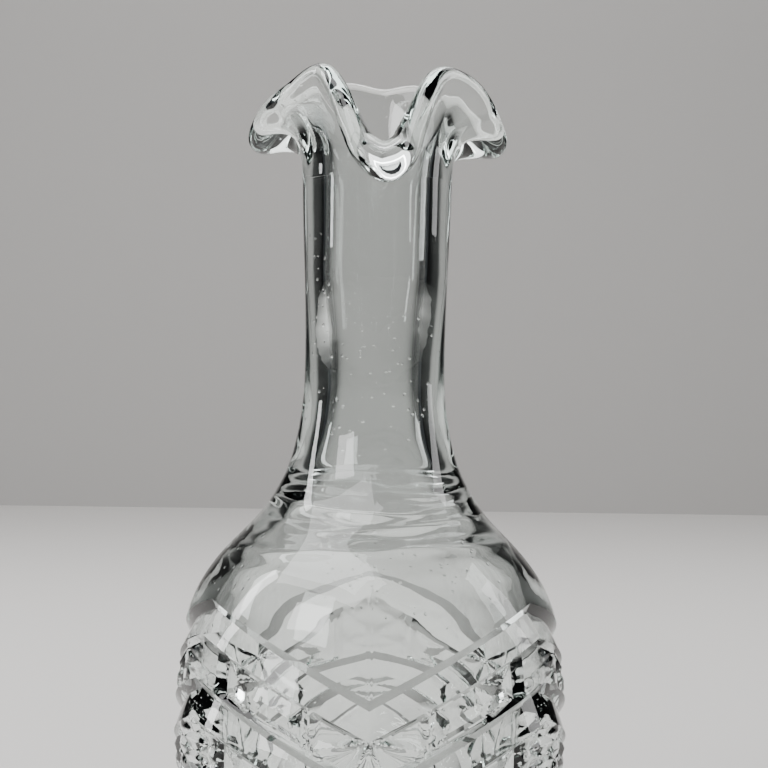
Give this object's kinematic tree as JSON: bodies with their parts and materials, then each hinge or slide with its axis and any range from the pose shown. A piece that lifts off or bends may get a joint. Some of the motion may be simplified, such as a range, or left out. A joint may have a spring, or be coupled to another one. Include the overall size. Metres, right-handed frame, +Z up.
{
  "type": "glass cruet",
  "caption": "Clear pressed-glass cruet bottle with a long neck, a body cut with rows of V and a lip worked out into pouring lobes; holds and pours oil, vinegar or syrup.",
  "frame": {"origin": "centre of the resting ring's plane, under the middle of the body", "axes": "+Z up along the neck, -Y towards the front pouring lobe, +X to its right when it is seen from the front"},
  "size_m": [0.0778, 0.078, 0.1717],
  "materials": {
    "glass": "clear fire-polished soda glass with a very slight green tint"
  },
  "bodies": {
    "root": {"vessel": "glass"}
  },
  "joints": []
}
